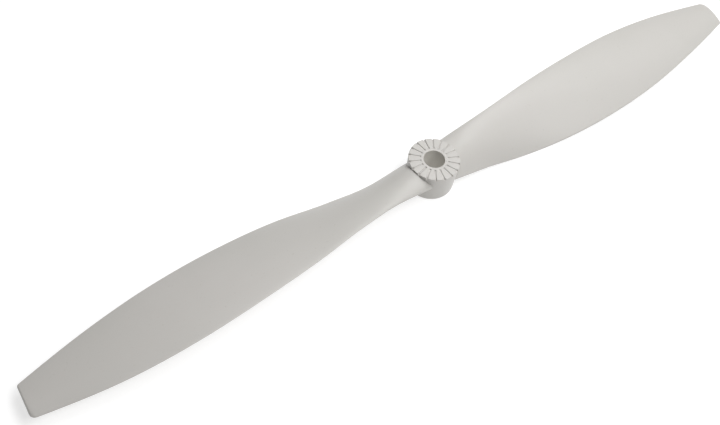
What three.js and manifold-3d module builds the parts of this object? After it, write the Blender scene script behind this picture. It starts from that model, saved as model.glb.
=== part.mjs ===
// Two-blade fixed-pitch propeller for a small electric model aeroplane, moulded in one plastic.
// Millimetres, +Z up along the shaft towards the grooved front face. The origin is the centre of
// the hub's rear face, and +X runs from the hub to the tip of blade_a.
// Four regions of the moulding are separate solids: the hub barrel, the grooved ring on its
// front, and the two blades, which are the same shape half a turn apart.

import * as THREE from 'three';
import { mergeVertices } from 'three/addons/utils/BufferGeometryUtils.js';
import Module from 'manifold-3d';

// ---- hub ----
const BORE_RADIUS = 3.1;
const HUB_REAR_RADIUS = 7.1;
const HUB_FRONT_RADIUS = 7.5;
const HUB_HEIGHT = 9.8;
const RING_THICKNESS = 1.2;
const EDGE_CHAMFER = 0.25;
const JOINT_GAP = 0.3;
const ROUND_STEPS = 72;

// ---- radial grooves of the front face ----
const GROOVE_COUNT = 18;
const GROOVE_WIDTH = 0.5;
const GROOVE_DEPTH = 0.3;
const GROOVE_INNER_RADIUS = 3.9;
const FIRST_GROOVE_DEG = 13.8;

// ---- blade stations, from the root to the tip ----
// radius from the shaft axis, reach of the leading and trailing edge from the blade's line,
// and twist of the chord above the plane of rotation in degrees
const STATIONS = [
  { radius: 6, leading: 6.1, trailing: 6.4, twist: 14 },
  { radius: 16, leading: 6.8, trailing: 7.6, twist: 28 },
  { radius: 30, leading: 7.9, trailing: 10.2, twist: 28 },
  { radius: 46, leading: 9.3, trailing: 12.3, twist: 20 },
  { radius: 64, leading: 10.3, trailing: 13.1, twist: 15 },
  { radius: 84, leading: 10.6, trailing: 12.2, twist: 10.5 },
  { radius: 104, leading: 9.1, trailing: 9.4, twist: 5.5 },
  { radius: 126.5, leading: 4.9, trailing: 4.9, twist: 2 },
];

// ---- blade line and section ----
const LINE_HEIGHT = 5.1;
const DROOP_START = 40;
const TIP_DROOP = 1.4;
const TIP_THICKNESS = 1.0;
const ROOT_THICKNESS = 2.6;
const THICKNESS_FADE = 22;
const CAMBER_RATIO = 0.05;
const TRAILING_HALF = 0.28;
const SWELL_ABOVE = 2.5;
const SWELL_BELOW = 1.5;
const SWELL_FADE = 11;

// ---- blade tip ----
const TIP_SLANT = 0.12;
const LEADING_CORNER = 1.5;
const TRAILING_CORNER = 0.9;
const CORNER_STEPS = 4;
const EDGE_SAMPLE = 2;

// ---- loft density ----
const ROOT_START = 4.5;
const SPAN_ROWS = 24;
const ROW_SPREAD = 1.15;
const SECTION_STEPS = 12;
const MERGE_TOLERANCE = 1e-4;

const PLASTIC = { color: 0xcdc9c4, roughness: 0.45, metalness: 0.0 };

const wasm = await Module();
wasm.setup();

// ---------- helpers ----------

// smooth curve through the stations' values of one key, read at a radius
function station(key, radius) {
  const last = STATIONS.length - 1;
  const slope = (i) => (STATIONS[i + 1][key] - STATIONS[i][key])
    / (STATIONS[i + 1].radius - STATIONS[i].radius);
  const width = (i) => STATIONS[i + 1].radius - STATIONS[i].radius;
  const inner = (i) => (width(i) * slope(i - 1) + width(i - 1) * slope(i)) / (width(i) + width(i - 1));
  const tangent = (i) => {
    if (i === 0) return 1.5 * slope(0) - 0.5 * inner(1);
    if (i === last) return 1.5 * slope(last - 1) - 0.5 * inner(last - 1);
    return inner(i);
  };
  let k = 0;
  while (k < last - 1 && radius > STATIONS[k + 1].radius) k += 1;
  const t = (radius - STATIONS[k].radius) / width(k);
  const start = (1 + 2 * t) * (1 - t) ** 2 * STATIONS[k][key];
  const end = t * t * (3 - 2 * t) * STATIONS[k + 1][key];
  const bend = t * (1 - t) ** 2 * tangent(k) + t * t * (t - 1) * tangent(k + 1);
  return start + end + bend * width(k);
}

function toManifold(geometry) {
  const bare = geometry.clone();
  bare.deleteAttribute('normal');
  bare.deleteAttribute('uv');
  const merged = mergeVertices(bare, MERGE_TOLERANCE);
  return new wasm.Manifold(new wasm.Mesh({
    numProp: 3,
    vertProperties: new Float32Array(merged.attributes.position.array),
    triVerts: new Uint32Array(merged.index.array),
  }));
}

function toGeometry(manifold) {
  const mesh = manifold.getMesh();
  const geometry = new THREE.BufferGeometry();
  geometry.setAttribute('position', new THREE.BufferAttribute(new Float32Array(mesh.vertProperties), 3));
  geometry.setIndex(new THREE.BufferAttribute(new Uint32Array(mesh.triVerts), 1));
  geometry.computeVertexNormals();
  return geometry;
}

// solid of revolution about +Z from a closed list of [radius, height] points
function turned(profile) {
  const points = profile.map(([radius, height]) => new THREE.Vector2(radius, height));
  const geometry = new THREE.LatheGeometry([...points, points[0]], ROUND_STEPS);
  geometry.rotateX(Math.PI / 2);
  return geometry;
}

function namedMesh(name, geometry) {
  const mesh = new THREE.Mesh(geometry, new THREE.MeshStandardMaterial(PLASTIC));
  mesh.name = name;
  return mesh;
}

// ---------- hub ----------

const ringBottom = HUB_HEIGHT - RING_THICKNESS;

function hubBarrel() {
  const top = ringBottom - JOINT_GAP;
  const topRadius = THREE.MathUtils.lerp(HUB_REAR_RADIUS, HUB_FRONT_RADIUS, top / HUB_HEIGHT);
  return turned([
    [BORE_RADIUS + EDGE_CHAMFER, 0],
    [HUB_REAR_RADIUS - EDGE_CHAMFER, 0],
    [HUB_REAR_RADIUS, EDGE_CHAMFER],
    [topRadius, top],
    [BORE_RADIUS, top],
    [BORE_RADIUS, EDGE_CHAMFER],
  ]);
}

// one cutter bar, laid along a radius and standing through the front face
function grooveCutter(index) {
  const outer = HUB_FRONT_RADIUS + 1;
  const bar = new THREE.BoxGeometry(outer - GROOVE_INNER_RADIUS, GROOVE_WIDTH, 2 * GROOVE_DEPTH);
  bar.translate((outer + GROOVE_INNER_RADIUS) / 2, 0, HUB_HEIGHT);
  bar.rotateZ(THREE.MathUtils.degToRad(FIRST_GROOVE_DEG + index * 360 / GROOVE_COUNT));
  return toManifold(bar);
}

function lockingRing() {
  let ring = toManifold(turned([
    [BORE_RADIUS, ringBottom],
    [HUB_FRONT_RADIUS, ringBottom],
    [HUB_FRONT_RADIUS, HUB_HEIGHT],
    [BORE_RADIUS + EDGE_CHAMFER, HUB_HEIGHT],
    [BORE_RADIUS, HUB_HEIGHT - EDGE_CHAMFER],
  ]));
  for (let i = 0; i < GROOVE_COUNT; i += 1) ring = ring.subtract(grooveCutter(i));
  return toGeometry(ring);
}

// ---------- blade ----------

const tipRadius = STATIONS[STATIONS.length - 1].radius;

const leadingPoint = (radius) => new THREE.Vector2(radius, station('leading', radius));
const trailingPoint = (radius) => new THREE.Vector2(radius, -station('trailing', radius));

// arc that rounds the corner between a blade edge and the slanted tip line
function tipCorner(edgePoint, radius) {
  const cornerRadius = tipRadius + TIP_SLANT * edgePoint(tipRadius).y;
  const corner = edgePoint(cornerRadius);
  const back = edgePoint(cornerRadius - EDGE_SAMPLE).sub(corner).normalize();
  const across = new THREE.Vector2(TIP_SLANT, 1).normalize().multiplyScalar(-Math.sign(corner.y));
  const half = Math.acos(back.dot(across)) / 2;
  const centre = back.clone().add(across).setLength(radius / Math.sin(half)).add(corner);
  const start = back.clone().multiplyScalar(radius / Math.tan(half)).add(corner).sub(centre);
  const sweep = -Math.sign(corner.y) * (Math.PI - 2 * half);
  const steps = Array.from({ length: CORNER_STEPS + 1 }, (_, i) => i / CORNER_STEPS);
  return steps.map((t) => start.clone().rotateAround(new THREE.Vector2(), sweep * t).add(centre));
}

// rows across the blade, each from its leading-edge point to its trailing-edge point
function planformRows() {
  const leadingArc = tipCorner(leadingPoint, LEADING_CORNER);
  const trailingArc = tipCorner(trailingPoint, TRAILING_CORNER);
  const rows = [];
  for (let i = 0; i < SPAN_ROWS; i += 1) {
    const along = (i / SPAN_ROWS) ** ROW_SPREAD;
    const lead = THREE.MathUtils.lerp(ROOT_START, leadingArc[0].x, along);
    const trail = THREE.MathUtils.lerp(ROOT_START, trailingArc[0].x, along);
    rows.push([leadingPoint(lead), trailingPoint(trail)]);
  }
  leadingArc.forEach((point, i) => rows.push([point, trailingArc[i]]));
  return rows;
}

// four-digit aerofoil thickness, scaled to 1 at its thickest
function aerofoil(u) {
  return 2.969 * Math.sqrt(u) - 1.26 * u - 3.516 * u ** 2 + 2.843 * u ** 3 - 1.015 * u ** 4;
}

// height of the section's upper (+1) or lower (-1) side above the chord
function sectionHeight(u, radius, chord, side) {
  const spanLeft = Math.exp(-(radius - STATIONS[0].radius) / THICKNESS_FADE);
  const halfThickness = (TIP_THICKNESS + (ROOT_THICKNESS - TIP_THICKNESS) * spanLeft) / 2;
  const camber = CAMBER_RATIO * chord * 4 * u * (1 - u);
  const swell = (side > 0 ? SWELL_ABOVE : SWELL_BELOW)
    * Math.exp(-(radius - STATIONS[0].radius) / SWELL_FADE) * Math.sin(Math.PI * u);
  return camber + side * (halfThickness * aerofoil(u) + TRAILING_HALF * u + swell);
}

function bladePoint(row, u, side) {
  const flat = row[0].clone().lerp(row[1], u);
  const height = sectionHeight(u, flat.x, row[0].distanceTo(row[1]), side);
  const twist = THREE.MathUtils.degToRad(station('twist', flat.x));
  const droop = TIP_DROOP * (Math.max(flat.x - DROOP_START, 0) / (tipRadius - DROOP_START)) ** 2;
  return [
    flat.x,
    flat.y * Math.cos(twist) - height * Math.sin(twist),
    LINE_HEIGHT - droop + flat.y * Math.sin(twist) + height * Math.cos(twist),
  ];
}

// closed loop of one section: leading edge, over the top to the trailing edge, back underneath
function sectionLoop(row) {
  const eased = (i) => (1 - Math.cos(Math.PI * i / SECTION_STEPS)) / 2;
  const loop = [];
  for (let i = 0; i <= SECTION_STEPS; i += 1) loop.push(bladePoint(row, eased(i), 1));
  for (let i = SECTION_STEPS; i >= 1; i -= 1) loop.push(bladePoint(row, eased(i), -1));
  return loop;
}

function bladeLoft() {
  const loops = planformRows().map(sectionLoop);
  const size = loops[0].length;
  const index = [];
  for (let r = 0; r < loops.length - 1; r += 1) {
    for (let i = 0; i < size; i += 1) {
      const a = r * size + i;
      const b = r * size + (i + 1) % size;
      index.push(a, b, a + size, b, b + size, a + size);
    }
  }
  const lastLoop = (loops.length - 1) * size;
  for (let i = 1; i < SECTION_STEPS; i += 1) {
    index.push(i, size - i, i + 1, i + 1, size - i, size - i - 1);
    index.push(lastLoop + i, lastLoop + i + 1, lastLoop + size - i);
    index.push(lastLoop + i + 1, lastLoop + size - i - 1, lastLoop + size - i);
  }
  index.push(0, size - 1, 1);
  index.push(lastLoop, lastLoop + 1, lastLoop + size - 1);
  const geometry = new THREE.BufferGeometry();
  geometry.setAttribute('position', new THREE.Float32BufferAttribute(loops.flat(2), 3));
  geometry.setIndex(index);
  return geometry;
}

// the hub's envelope, taken out of the blade so that its root stops just clear of the hub
function hubClearance() {
  const radius = HUB_FRONT_RADIUS + JOINT_GAP;
  const envelope = new THREE.CylinderGeometry(radius, radius, 2 * HUB_HEIGHT, ROUND_STEPS);
  envelope.rotateX(Math.PI / 2);
  envelope.translate(0, 0, HUB_HEIGHT / 2);
  return toManifold(envelope);
}

const bladeGeometry = toGeometry(toManifold(bladeLoft()).subtract(hubClearance()));

// ---------- assembly ----------

const propeller = new THREE.Group();
propeller.add(namedMesh('hub_barrel', hubBarrel()));
propeller.add(namedMesh('locking_face_ring', lockingRing()));
propeller.add(namedMesh('blade_a', bladeGeometry));

const opposite = new THREE.Group();
opposite.rotation.z = Math.PI;
opposite.add(namedMesh('blade_b', bladeGeometry.clone()));
propeller.add(opposite);

export default propeller;
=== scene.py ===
"""Looks of a two-blade model aeroplane propeller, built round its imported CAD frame.

The four visible pieces stand for the four CAD nodes. They are fine meshes of the same shapes
with rounded edges and moulded fillets, and they run into each other, because the real
propeller is one moulding. Sizes are in millimetres and are turned into metres in `make_piece`.
"""

import math

import bpy
import numpy as np
from mathutils import Matrix, Quaternion, Vector


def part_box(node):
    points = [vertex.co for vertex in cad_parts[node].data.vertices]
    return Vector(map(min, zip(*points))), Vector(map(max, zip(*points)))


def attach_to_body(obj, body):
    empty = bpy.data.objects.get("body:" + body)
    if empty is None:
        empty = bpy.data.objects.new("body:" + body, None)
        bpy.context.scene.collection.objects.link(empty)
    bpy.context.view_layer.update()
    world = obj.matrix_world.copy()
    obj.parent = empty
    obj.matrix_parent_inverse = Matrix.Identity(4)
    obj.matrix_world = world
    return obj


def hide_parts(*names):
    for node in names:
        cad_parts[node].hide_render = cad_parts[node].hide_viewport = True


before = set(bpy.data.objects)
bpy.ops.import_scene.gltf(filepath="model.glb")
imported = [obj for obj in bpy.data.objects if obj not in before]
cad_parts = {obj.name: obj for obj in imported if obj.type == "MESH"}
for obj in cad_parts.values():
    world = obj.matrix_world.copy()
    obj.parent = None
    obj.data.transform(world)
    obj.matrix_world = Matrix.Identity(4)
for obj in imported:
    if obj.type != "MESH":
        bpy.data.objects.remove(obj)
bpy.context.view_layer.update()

MM = 0.001

# ---- hub, read from the CAD frame ----
ring_low, ring_high = (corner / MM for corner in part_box("locking_face_ring"))
HUB_HEIGHT = ring_high.z
HUB_FRONT_RADIUS = ring_high.x
RING_BOTTOM = ring_low.z
HUB_REAR_RADIUS = 7.1
BORE_RADIUS = 3.1
REAR_ROUND = 0.35
RIM_ROUND = 0.14
BORE_ROUND = 0.1

# painted light in the shaft bore: the base colour is multiplied up inside the bore, standing in for
# light reaching its walls
BORE_PAINTED_LIGHT = (1.3, 1.3, 1.28)
BORE_PAINTED_LIGHT_START = 0.02
PROFILE_EDGE = 0.04
WALL_ROWS = 12
FACE_INNER_RING = 3.5
RING_WALL_STEPS = (0.1, 0.3, 0.55, 0.8, 1.0)

# ---- radial grooves of the front face ----
GROOVE_COUNT = 18
FIRST_GROOVE_DEG = 13.8
GROOVE_WIDTH = 0.5
GROOVE_FLARE = 0.1
GROOVE_INNER_RADIUS = 3.9
GROOVE_WAIST = 0.36
GROOVE_DEPTH = 0.21
GROOVE_PIT_DEPTH = 0.27
GROOVE_RIM_DEPTH = 0.55

# ---- blade: radius, leading and trailing reach, twist in degrees ----
STATIONS = np.array([
    (6, 6.1, 6.4, 14),
    (16, 6.8, 7.6, 28),
    (30, 7.9, 10.2, 28),
    (46, 9.3, 12.3, 20),
    (64, 10.3, 13.1, 15),
    (84, 10.6, 12.2, 10.5),
    (104, 9.1, 9.4, 5.5),
    (126.5, 4.9, 4.9, 2),
], float)
LEADING, TRAILING, TWIST = 1, 2, 3
TIP_RADIUS = STATIONS[-1, 0]
LINE_HEIGHT = 5.1
DROOP_START = 40.0
TIP_DROOP = 1.4
TIP_THICKNESS = 1.0
ROOT_THICKNESS = 2.6
THICKNESS_FADE = 22.0
CAMBER_RATIO = 0.05
TRAILING_HALF = 0.28
SWELL_ABOVE = 2.5
SWELL_BELOW = 1.5
SWELL_FADE = 11.0
SWELL_START = 7.0
TIP_SLANT = 0.12
LEADING_CORNER = 1.65
TRAILING_CORNER = 0.9
TIP_EDGE_ROUND = 0.4

# ---- mesh density ----
LOWEST_POINT = 0.05
ROOT_START = 3.6
ROOT_END = 11.0
ROOT_ROWS = 62
SPAN_ROWS = 100
CORNER_ROWS = 14
SECTION_STEPS = 44
BARREL_SEGMENTS = 216
SHARP_ANGLE = math.radians(55)

# ---- moulded fillet where a blade meets the hub ----
FILLET_MOST = 0.25
FILLET_LEAST = 0.1

# ---- camera ----
CAMERA_AT = Vector((-143.2, -110.8, 230.5)) * MM
CAMERA_AIM = Vector((-24.1, 1.7, 0.0)) * MM
CAMERA_ROLL_DEG = 11.2
CAMERA_LENS = 50.0
SENSOR_WIDTH = 36.0

# ---- plastic and studio ----
PLASTIC_COLOUR = (0.495, 0.481, 0.457)
FLOOR_COLOUR = (0.48, 0.48, 0.48, 1)
FLOOR_GLOW = 0.6
FLOOR_HALF_SIZE = 4.0
FLOOR_DROP = 0.0001
WORLD_STRENGTH = 0.2


# ---------- mesh helpers ----------

def make_piece(name, points, faces, material):
    """A closed, smooth-shaded mesh object from points in millimetres."""
    mesh = bpy.data.meshes.new(name)
    mesh.from_pydata((np.asarray(points) * MM).tolist(), [], faces)
    mesh.validate()
    mesh.shade_smooth()
    mesh.set_sharp_from_angle(angle=SHARP_ANGLE)
    mesh.materials.append(material)
    piece = bpy.data.objects.new(name, mesh)
    bpy.context.scene.collection.objects.link(piece)
    return piece


def loop_quads(rows, size, start=0):
    """Quads between consecutive closed loops of `size` points."""
    quads = []
    for r in range(rows - 1):
        for i in range(size):
            a = start + r * size + i
            b = start + r * size + (i + 1) % size
            quads.append((a, b, b + size, a + size))
    return quads


def quarter_arc(centre, radius, start_deg, steps=6):
    """Points of a 90 degree arc in the radius-height plane, turning anticlockwise."""
    turn = np.radians(start_deg + np.linspace(0, 90, steps))
    return [(centre[0] + radius * math.cos(a), centre[1] + radius * math.sin(a)) for a in turn]


def hub_radius(height):
    """Outer radius of the hub, which tapers a little towards its rear face."""
    return HUB_REAR_RADIUS + (HUB_FRONT_RADIUS - HUB_REAR_RADIUS) * height / HUB_HEIGHT


def smooth(x, low, high):
    t = np.clip((x - low) / (high - low), 0, 1)
    return t * t * (3 - 2 * t)


# ---------- hub barrel ----------

def barrel_profile():
    """Closed outline in the radius-height plane, round both edges of the rear face."""
    edge = PROFILE_EDGE
    rear_outer = quarter_arc((HUB_REAR_RADIUS - REAR_ROUND, REAR_ROUND), REAR_ROUND, -90)
    rear_inner = quarter_arc((BORE_RADIUS + BORE_ROUND, BORE_ROUND), BORE_ROUND, 180)
    wall = np.linspace(REAR_ROUND + edge, RING_BOTTOM, WALL_ROWS)
    return (
        rear_inner
        + [(BORE_RADIUS + BORE_ROUND + edge, 0), (HUB_REAR_RADIUS - REAR_ROUND - edge, 0)]
        + rear_outer
        + [(hub_radius(z), z) for z in wall]
        + [(BORE_RADIUS, z) for z in wall[::-1]]
    )


def hub_barrel(material):
    profile = barrel_profile()
    turns = np.linspace(0, 2 * math.pi, BARREL_SEGMENTS, endpoint=False)
    points = [(r * math.cos(a), r * math.sin(a), z) for a in turns for r, z in profile]
    size = len(profile)
    faces = []
    for s in range(BARREL_SEGMENTS):
        after = (s + 1) % BARREL_SEGMENTS
        for i in range(size):
            j = (i + 1) % size
            faces.append((s * size + i, after * size + i, after * size + j, s * size + j))
    return make_piece("hub_moulding", points, [f[::-1] for f in faces], material)


# ---------- grooved ring ----------

def groove_angles(radius):
    """Angles of one sector's mesh lines, which follow the groove's parallel sides."""
    half = GROOVE_WIDTH / 2
    flare = GROOVE_FLARE
    offsets = np.array([0, 0.5 * half, half - flare, half - flare / 2, half, half + flare / 2,
                        half + flare, half + 2 * flare])
    near = np.arcsin(offsets / radius)
    border = math.pi / GROOVE_COUNT
    land = near[-1] + (border - near[-1]) * np.array([0.25, 0.5, 0.75, 1.0])
    half_sector = np.concatenate([near, land])
    return np.concatenate([-half_sector[:0:-1], half_sector[:-1]])


def ring_lines(radius):
    """Angles of all mesh lines round the ring at one radius, and each one's offset to its groove."""
    sector = groove_angles(radius)
    centres = np.radians(FIRST_GROOVE_DEG + np.arange(GROOVE_COUNT) * 360 / GROOVE_COUNT)
    angles = (centres[:, None] + sector[None, :]).ravel()
    offsets = np.tile(np.abs(np.sin(sector)) * radius, GROOVE_COUNT)
    return angles, offsets


def groove_depth(radius, offsets):
    """How deep the face is cut: deepest at the groove's closed end and at the open rim."""
    start = smooth(radius, GROOVE_INNER_RADIUS - 0.08, GROOVE_INNER_RADIUS + 0.08)
    pit = 1 - smooth(radius, GROOVE_INNER_RADIUS + 0.3, GROOVE_INNER_RADIUS + 0.6)
    rim = smooth(radius, HUB_FRONT_RADIUS - 0.9, HUB_FRONT_RADIUS - 0.1)
    floor = GROOVE_DEPTH + (GROOVE_PIT_DEPTH - GROOVE_DEPTH) * pit
    floor = floor + (GROOVE_RIM_DEPTH - GROOVE_DEPTH) * rim
    half = (GROOVE_WAIST + (GROOVE_WIDTH - GROOVE_WAIST) * max(pit, rim)) / 2
    wall = 1 - smooth(offsets, half - GROOVE_FLARE, half + GROOVE_FLARE)
    return start * floor * wall


def face_height(radius):
    """Height of the ungrooved face, rolled over at the bore and at the rim."""
    inner = BORE_RADIUS + BORE_ROUND - radius
    outer = radius - (HUB_FRONT_RADIUS - RIM_ROUND)
    drop = 0.0
    if inner > 0:
        drop = BORE_ROUND - math.sqrt(max(BORE_ROUND ** 2 - inner ** 2, 0))
    if outer > 0:
        drop = RIM_ROUND - math.sqrt(max(RIM_ROUND ** 2 - outer ** 2, 0))
    return HUB_HEIGHT - drop


def ring_radii():
    """Radii of the face's mesh rings, from the bore to the rim."""
    bore_roll = BORE_RADIUS + BORE_ROUND * (1 - np.cos(np.linspace(0, math.pi / 2, 6)))
    rim_roll = HUB_FRONT_RADIUS - RIM_ROUND * (1 - np.sin(np.linspace(0, math.pi / 2, 5)))
    start = GROOVE_INNER_RADIUS
    closed_end = start + np.array([-0.2, -0.08, -0.04, 0, 0.04, 0.08, 0.2, 0.3, 0.45, 0.6])
    middle = np.linspace(start + 0.9, HUB_FRONT_RADIUS - 0.9, 7)
    outer = np.linspace(HUB_FRONT_RADIUS - 0.65, rim_roll[0] - 0.04, 3)
    return np.concatenate([bore_roll, [FACE_INNER_RING], closed_end, middle, outer, rim_roll])


def ring_loop(radius, heights):
    angles, _ = ring_lines(radius)
    return np.column_stack([radius * np.cos(angles), radius * np.sin(angles),
                            np.broadcast_to(heights, angles.shape)])


def grooved_ring(material):
    bore_top = face_height(BORE_RADIUS) - 0.05
    loops = [ring_loop(BORE_RADIUS, z) for z in np.linspace(RING_BOTTOM, bore_top, 4)]
    for radius in ring_radii():
        _, offsets = ring_lines(radius)
        roll = face_height(radius)
        cut = HUB_HEIGHT - groove_depth(radius, offsets)
        loops.append(ring_loop(radius, np.minimum(roll, cut)))
    top = loops[-1][:, 2]
    for t in RING_WALL_STEPS:
        height = top + (RING_BOTTOM - top) * t
        loops.append(ring_loop(HUB_FRONT_RADIUS, height))
    for loop in loops[-len(RING_WALL_STEPS):]:
        loop[:, :2] *= (hub_radius(loop[:, 2]) / HUB_FRONT_RADIUS)[:, None]
    size = len(loops[0])
    faces = loop_quads(len(loops), size)
    last = (len(loops) - 1) * size
    faces += [(last + i, last + (i + 1) % size, (i + 1) % size, i) for i in range(size)]
    points = np.concatenate(loops)
    return make_piece("grooved_face_moulding", points, [f[::-1] for f in faces], material)


# ---------- blade ----------

def station(column, radius):
    """Smooth curve through one column of the station table."""
    xs, ys = STATIONS[:, 0], STATIONS[:, column]
    width = np.diff(xs)
    slope = np.diff(ys) / width
    tangent = np.empty(len(xs))
    tangent[1:-1] = (width[1:] * slope[:-1] + width[:-1] * slope[1:]) / (width[1:] + width[:-1])
    tangent[0] = 1.5 * slope[0] - 0.5 * tangent[1]
    tangent[-1] = 1.5 * slope[-1] - 0.5 * tangent[-2]
    k = np.clip(np.searchsorted(xs, radius) - 1, 0, len(width) - 1)
    t = (radius - xs[k]) / width[k]
    start = (1 + 2 * t) * (1 - t) ** 2 * ys[k]
    end = t * t * (3 - 2 * t) * ys[k + 1]
    bend = t * (1 - t) ** 2 * tangent[k] + t * t * (t - 1) * tangent[k + 1]
    return start + end + bend * width[k]


def leading_point(radius):
    return np.array([radius, station(LEADING, radius)])


def trailing_point(radius):
    return np.array([radius, -station(TRAILING, radius)])


def tip_corner(edge_point, radius):
    """Points of the arc that rounds the corner between a blade edge and the slanted tip line."""
    corner_radius = TIP_RADIUS + TIP_SLANT * edge_point(TIP_RADIUS)[1]
    corner = edge_point(corner_radius)
    side = math.copysign(1, corner[1])
    back = edge_point(corner_radius - 2) - corner
    back /= np.linalg.norm(back)
    across = np.array([TIP_SLANT, 1]) * -side
    across /= np.linalg.norm(across)
    half = math.acos(back @ across) / 2
    middle = back + across
    centre = corner + middle / np.linalg.norm(middle) * radius / math.sin(half)
    start = corner + back * radius / math.tan(half) - centre
    turns = -side * (math.pi - 2 * half) * np.linspace(0, 1, CORNER_ROWS)
    cos, sin = np.cos(turns), np.sin(turns)
    return centre + np.column_stack([start[0] * cos - start[1] * sin, start[0] * sin + start[1] * cos])


def planform_rows():
    """Rows across the blade: arrays of leading-edge and trailing-edge points."""
    leading_arc = tip_corner(leading_point, LEADING_CORNER)
    trailing_arc = tip_corner(trailing_point, TRAILING_CORNER)
    root = np.linspace(ROOT_START, ROOT_END, ROOT_ROWS)
    along = np.linspace(0, 1, SPAN_ROWS)[1:-1]
    lead_x = np.concatenate([root, ROOT_END + (leading_arc[0, 0] - ROOT_END) * along])
    trail_x = np.concatenate([root, ROOT_END + (trailing_arc[0, 0] - ROOT_END) * along])
    lead = np.column_stack([lead_x, station(LEADING, lead_x)])
    trail = np.column_stack([trail_x, -station(TRAILING, trail_x)])
    return np.concatenate([lead, leading_arc]), np.concatenate([trail, trailing_arc])


def aerofoil(u):
    """Four-digit aerofoil thickness, scaled to 1 at its thickest."""
    return 2.969 * np.sqrt(u) - 1.26 * u - 3.516 * u ** 2 + 2.843 * u ** 3 - 1.015 * u ** 4


def round_end(distance, radius):
    """0 at an edge, rising to 1 at `radius` inside it along a quarter ellipse."""
    t = np.clip(distance / radius, 0, 1)
    return np.sqrt(1 - (1 - t) ** 2)


def half_section(u, radius, chord, side):
    """Height of the upper (+1) or lower (-1) surface above the camber line."""
    spanwise = np.exp(-(radius - STATIONS[0, 0]) / THICKNESS_FADE)
    thickness = (TIP_THICKNESS + (ROOT_THICKNESS - TIP_THICKNESS) * spanwise) / 2
    swell = SWELL_ABOVE if side > 0 else SWELL_BELOW
    swell = swell * np.exp(-(np.maximum(radius, SWELL_START) - STATIONS[0, 0]) / SWELL_FADE)
    body = thickness * aerofoil(u) + TRAILING_HALF * u + swell * np.sin(math.pi * u)
    return side * body * round_end((1 - u) * chord, TRAILING_HALF)


def blade_surface(lead, trail, u, side):
    """Points of one side of the blade: rows by section steps by 3."""
    flat = lead[:, None, :] + (trail - lead)[:, None, :] * u[None, :, None]
    x, reach = flat[..., 0], flat[..., 1]
    chord = np.linalg.norm(lead - trail, axis=1)[:, None]
    to_end = (TIP_RADIUS + TIP_SLANT * reach - x) / math.hypot(1, TIP_SLANT)
    height = CAMBER_RATIO * chord * 4 * u * (1 - u)
    height = height + half_section(u[None, :], x, chord, side) * round_end(to_end, TIP_EDGE_ROUND)
    twist = np.radians(station(TWIST, x))
    droop = TIP_DROOP * (np.maximum(x - DROOP_START, 0) / (TIP_RADIUS - DROOP_START)) ** 2
    y = reach * np.cos(twist) - height * np.sin(twist)
    z = LINE_HEIGHT - droop + reach * np.sin(twist) + height * np.cos(twist)
    return np.stack([x, y, z], axis=-1)


def grid_normals(loops):
    """Outward unit normals of a lofted grid of closed loops."""
    along = np.gradient(loops, axis=0)
    around = np.roll(loops, -1, axis=1) - np.roll(loops, 1, axis=1)
    normal = np.cross(along, around)
    return normal / np.maximum(np.linalg.norm(normal, axis=-1, keepdims=True), 1e-9)


def with_root_fillet(loops):
    """Flares the blade where it meets the hub, like the fillet of a moulding."""
    gap = np.hypot(loops[..., 0], loops[..., 1]) - hub_radius(loops[..., 2])
    fillet = np.clip((HUB_HEIGHT - loops[..., 2]) * 0.5, FILLET_LEAST, FILLET_MOST)
    inside = np.clip(1 - gap / fillet, 0, 1)
    flare = fillet * (1 - np.sqrt(1 - inside ** 2))
    moved = loops + grid_normals(loops) * flare[..., None]
    moved[..., 2] = np.maximum(moved[..., 2], LOWEST_POINT)
    return moved


def blade(name, turn, material):
    lead, trail = planform_rows()
    u = (1 - np.cos(np.linspace(0, math.pi, SECTION_STEPS + 1))) / 2
    upper = blade_surface(lead, trail, u, 1)
    lower = blade_surface(lead, trail, u, -1)
    loops = np.concatenate([upper, lower[:, -2:0:-1]], axis=1)
    loops = with_root_fillet(loops)
    rows, size = loops.shape[:2]
    faces = loop_quads(rows, size)
    faces.append(tuple(range(size))[::-1])
    points = loops.reshape(-1, 3) @ np.array(Matrix.Rotation(turn, 3, "Z").transposed())
    return make_piece(name, points, faces, material)


# ---------- materials ----------

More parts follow.
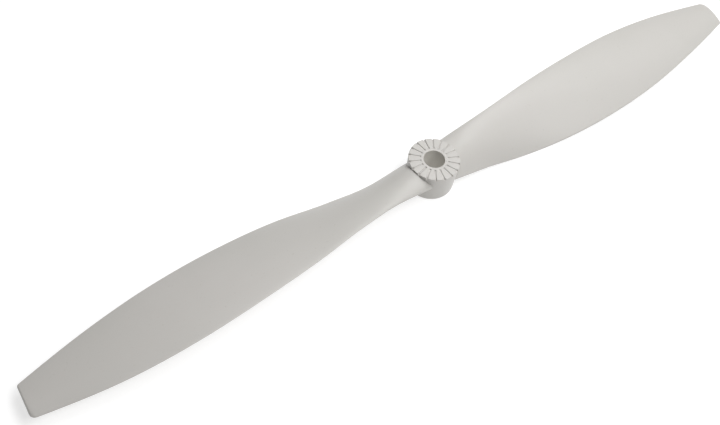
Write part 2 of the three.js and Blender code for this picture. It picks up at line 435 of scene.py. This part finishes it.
def moulded_plastic(name, colour, seed):
    """Satin filled nylon: faint cloudiness, flow streaks along the blade, fine mould texture, and
    painted light inside the shaft bore.
    """
    material = bpy.data.materials.new(name)
    material.use_nodes = True
    nodes, links = material.node_tree.nodes, material.node_tree.links
    shader = nodes["Principled BSDF"]
    place = nodes.new("ShaderNodeTexCoord")

    def noise(scale, detail, stretch=(1, 1, 1)):
        mapping = nodes.new("ShaderNodeMapping")
        mapping.inputs["Location"].default_value = (seed, seed * 0.7, seed * 1.3)
        mapping.inputs["Scale"].default_value = stretch
        texture = nodes.new("ShaderNodeTexNoise")
        texture.inputs["Scale"].default_value = scale
        texture.inputs["Detail"].default_value = detail
        links.new(place.outputs["Object"], mapping.inputs["Vector"])
        links.new(mapping.outputs["Vector"], texture.inputs["Vector"])
        return texture.outputs["Fac"]

    def ramp(source, low, high, stops):
        node = nodes.new("ShaderNodeValToRGB")
        node.color_ramp.elements[0].position = low
        node.color_ramp.elements[1].position = high
        node.color_ramp.elements[0].color = (*stops[0], 1)
        node.color_ramp.elements[1].color = (*stops[1], 1)
        links.new(source, node.inputs["Fac"])
        return node.outputs["Color"]

    def blend(kind, factor, first, second):
        node = nodes.new("ShaderNodeMix")
        node.data_type = "RGBA"
        node.blend_type = kind
        node.inputs["Factor"].default_value = factor
        links.new(first, node.inputs["A"])
        links.new(second, node.inputs["B"])
        return node.outputs["Result"]

    base = np.array(colour)
    cloud = ramp(noise(28, 3), 0.3, 0.7, (base * (0.965, 0.97, 0.965), base * (1.02, 1.015, 1.02)))
    streak = ramp(noise(90, 4, (0.12, 1, 1)), 0.3, 0.72, ((0.975, 0.975, 0.975), (1, 1, 1)))
    speck = ramp(noise(1500, 1), 0.22, 0.3, ((0.86, 0.85, 0.83), (1, 1, 1)))
    tinted = blend("MULTIPLY", 0.8, cloud, streak)
    tinted = blend("MULTIPLY", 0.5, tinted, speck)
    # the base colour gets painted light inside the shaft bore
    links.new(with_painted_bore_light(material, place, tinted), shader.inputs["Base Color"])

    rough = nodes.new("ShaderNodeMapRange")
    rough.inputs["To Min"].default_value = 0.36
    rough.inputs["To Max"].default_value = 0.5
    links.new(noise(60, 5, (0.4, 1, 1)), rough.inputs["Value"])
    links.new(rough.outputs["Result"], shader.inputs["Roughness"])

    grain = nodes.new("ShaderNodeBump")
    grain.inputs["Strength"].default_value = 0.12
    grain.inputs["Distance"].default_value = 0.00004
    links.new(noise(2600, 2), grain.inputs["Height"])
    links.new(grain.outputs["Normal"], shader.inputs["Normal"])

    shader.inputs["IOR"].default_value = 1.5
    shader.inputs["Subsurface Weight"].default_value = 0.06
    shader.inputs["Subsurface Radius"].default_value = (1.0, 0.9, 0.8)
    shader.inputs["Subsurface Scale"].default_value = 0.0006
    return material


def with_painted_bore_light(material, place, colour):
    """Painted light: lightens the colour inside the shaft bore, standing in for light that reaches the
    bore's walls.
    """
    nodes, links = material.node_tree.nodes, material.node_tree.links
    flat = nodes.new("ShaderNodeVectorMath")
    flat.operation = "MULTIPLY"
    flat.inputs[1].default_value = (1, 1, 0)
    reach = nodes.new("ShaderNodeVectorMath")
    reach.operation = "LENGTH"
    inside = nodes.new("ShaderNodeMapRange")
    inside.inputs["From Min"].default_value = (BORE_RADIUS + BORE_PAINTED_LIGHT_START) * MM
    inside.inputs["From Max"].default_value = (BORE_RADIUS + BORE_ROUND) * MM
    inside.inputs["To Min"].default_value = 1
    inside.inputs["To Max"].default_value = 0
    # painted light: multiplies the colour up inside the bore
    bore_light_mix = nodes.new("ShaderNodeMix")
    bore_light_mix.data_type = "RGBA"
    bore_light_mix.blend_type = "MULTIPLY"
    bore_light_mix.clamp_result = False
    bore_light_mix.inputs["B"].default_value = (*BORE_PAINTED_LIGHT, 1)
    links.new(place.outputs["Object"], flat.inputs[0])
    links.new(flat.outputs["Vector"], reach.inputs[0])
    links.new(reach.outputs["Value"], inside.inputs["Value"])
    links.new(inside.outputs["Result"], bore_light_mix.inputs["Factor"])
    links.new(colour, bore_light_mix.inputs["A"])
    return bore_light_mix.outputs["Result"]


def floor_material():
    material = bpy.data.materials.new("pale_floor")
    material.use_nodes = True
    shader = material.node_tree.nodes["Principled BSDF"]
    shader.inputs["Base Color"].default_value = FLOOR_COLOUR
    shader.inputs["Roughness"].default_value = 0.9
    shader.inputs["Emission Color"].default_value = (1, 1, 1, 1)
    shader.inputs["Emission Strength"].default_value = FLOOR_GLOW
    return material


# ---------- stage ----------

def make_floor():
    size = FLOOR_HALF_SIZE
    mesh = bpy.data.meshes.new("floor")
    corners = [(-size, -size, 0), (size, -size, 0), (size, size, 0), (-size, size, 0)]
    mesh.from_pydata(corners, [], [(0, 1, 2, 3)])
    mesh.materials.append(floor_material())
    floor = bpy.data.objects.new("floor", mesh)
    floor.location.z = -FLOOR_DROP
    bpy.context.scene.collection.objects.link(floor)


def make_camera():
    data = bpy.data.cameras.new("camera")
    data.lens = CAMERA_LENS
    data.sensor_width = SENSOR_WIDTH
    data.clip_start = 0.01
    camera = bpy.data.objects.new("camera", data)
    look = CAMERA_AIM - CAMERA_AT
    roll = Quaternion((0, 0, 1), math.radians(CAMERA_ROLL_DEG))
    camera.rotation_euler = (look.to_track_quat("-Z", "Y") @ roll).to_euler()
    camera.location = CAMERA_AT
    bpy.context.scene.collection.objects.link(camera)
    bpy.context.scene.camera = camera


def softbox(name, at, aim, size, power):
    data = bpy.data.lights.new(name, "AREA")
    data.shape = "RECTANGLE"
    data.size, data.size_y = size
    data.energy = power
    light = bpy.data.objects.new(name, data)
    light.location = at
    light.rotation_euler = (Vector(aim) - Vector(at)).to_track_quat("-Z", "Y").to_euler()
    bpy.context.scene.collection.objects.link(light)


def make_light():
    world = bpy.data.worlds.new("studio")
    world.use_nodes = True
    background = world.node_tree.nodes["Background"]
    background.inputs["Color"].default_value = (1, 1, 1, 1)
    background.inputs["Strength"].default_value = WORLD_STRENGTH
    bpy.context.scene.world = world
    softbox("front_key", (0.125, -0.216, 0.433), (0.03, 0, 0), (0.3, 0.3), 1.6)
    softbox("right_key", (0.235, 0.086, 0.433), (0.03, 0, 0), (0.3, 0.3), 1.3)
    softbox("camera_fill", (-0.175, -0.303, 0.606), (0, 0, 0), (0.4, 0.4), 0.1)
    softbox("back_low", (0.26, 0.45, 0.3), (0, 0, 0), (0.4, 0.4), 0.5)


# ---------- assembly ----------

def attach(piece, node):
    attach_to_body(piece, "root")
    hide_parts(node)


def build_propeller():
    hub_plastic = moulded_plastic("moulded_plastic_hub", PLASTIC_COLOUR, 3.1)
    blade_plastic = moulded_plastic("moulded_plastic_blade", PLASTIC_COLOUR, 7.4)
    attach(hub_barrel(hub_plastic), "hub_barrel")
    attach(grooved_ring(hub_plastic), "locking_face_ring")
    attach(blade("blade_a_moulding", 0, blade_plastic), "blade_a")
    attach(blade("blade_b_moulding", math.pi, blade_plastic), "blade_b")


bpy.context.scene.view_settings.view_transform = "Standard"
make_camera()
make_floor()
make_light()
build_propeller()
